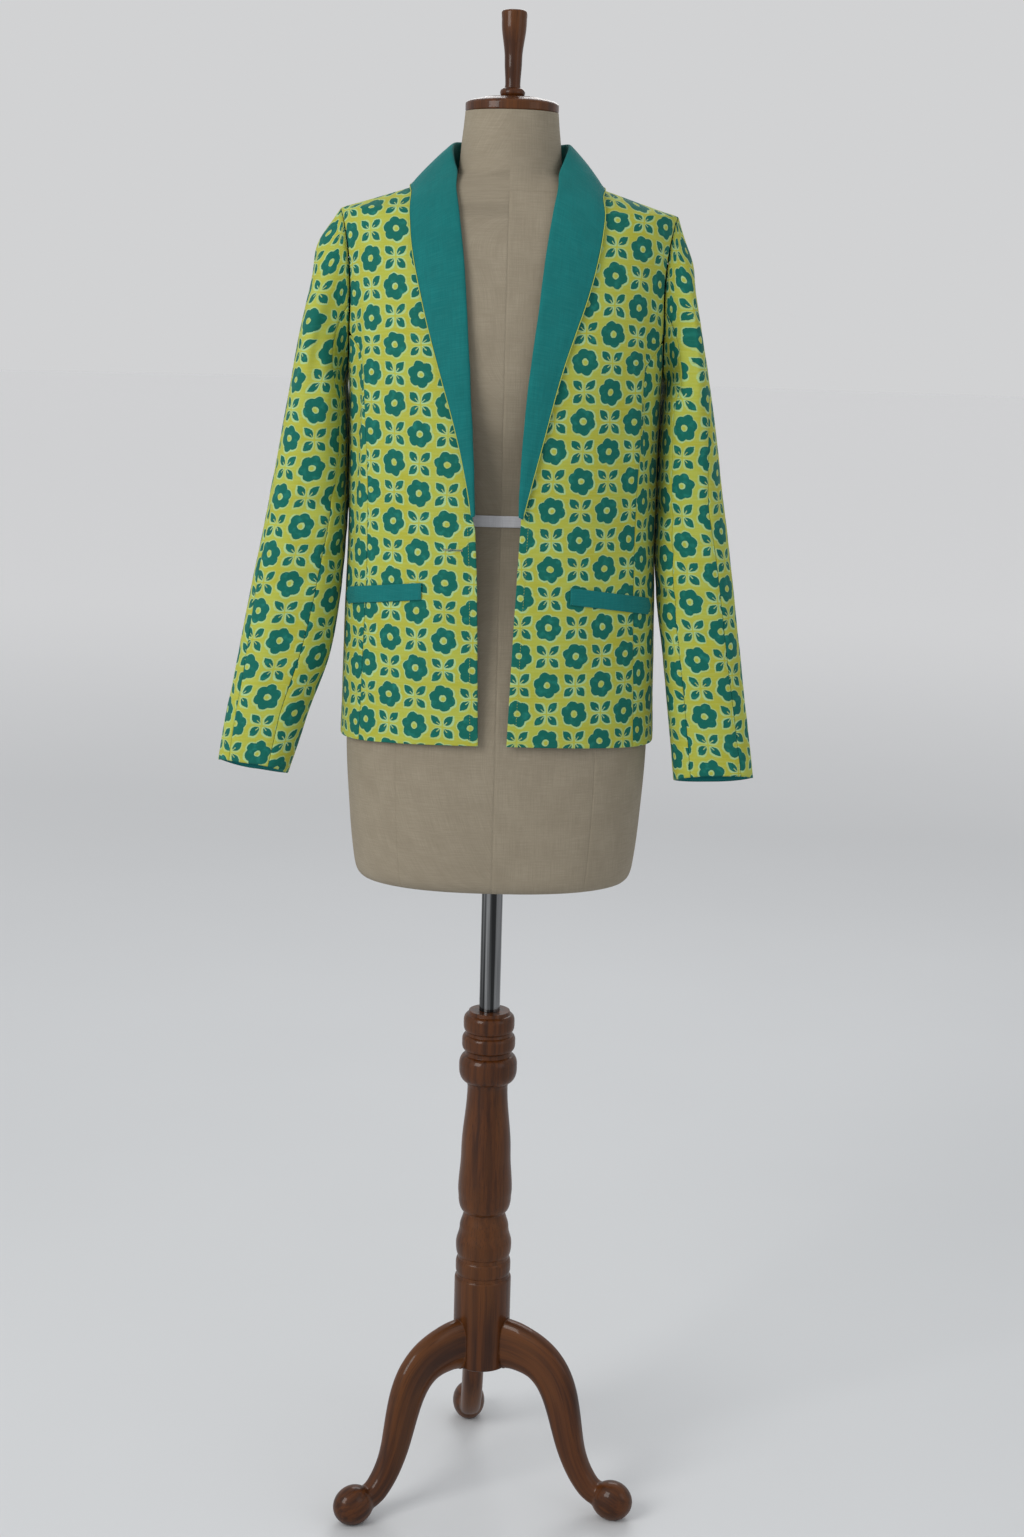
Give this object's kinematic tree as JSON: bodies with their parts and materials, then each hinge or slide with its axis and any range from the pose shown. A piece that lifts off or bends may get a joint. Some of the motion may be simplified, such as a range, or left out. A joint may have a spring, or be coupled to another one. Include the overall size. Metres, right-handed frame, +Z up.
{
  "type": "blazer on a limbless dress form with a tripod stand",
  "caption": "Open printed cotton blazer with a plain shawl collar and welt pockets, worn on a limbless linen dress form on a turned wood tripod stand",
  "frame": {"origin": "on the floor, under the middle of the whole object's box; the pole axis stands 11.5 mm to +X and 32.5 mm to -Y of it", "axes": "+Z up, the front faces -Y, +X is the wearer's left"},
  "size_m": [0.6221, 0.3423, 1.774],
  "materials": {
    "print_cotton": "lime cotton with a teal block print",
    "teal_cotton": "plain woven teal cotton",
    "form_linen": "linen cover over the form",
    "satin_tape": "silver satin tape",
    "varnished_wood": "red-brown gloss varnish",
    "chrome_tube": "polished"
  },
  "bodies": {
    "root": {"front_left": "print_cotton", "front_right": "print_cotton", "side_front_left": "print_cotton", "side_front_right": "print_cotton", "back": "print_cotton", "upper_sleeve_left": "print_cotton", "upper_sleeve_right": "print_cotton", "under_sleeve_left": "print_cotton", "under_sleeve_right": "print_cotton", "cuff_facing_left": "teal_cotton", "cuff_facing_right": "teal_cotton", "collar_left": "teal_cotton", "collar_right": "teal_cotton", "welt_left": "teal_cotton", "welt_right": "teal_cotton", "form_body": "form_linen", "waist_tape": "satin_tape", "neck_cap": "varnished_wood", "cap_handle": "varnished_wood", "pole": "chrome_tube", "column": "varnished_wood", "leg_left": "varnished_wood", "leg_right": "varnished_wood", "leg_rear": "varnished_wood"}
  },
  "joints": []
}
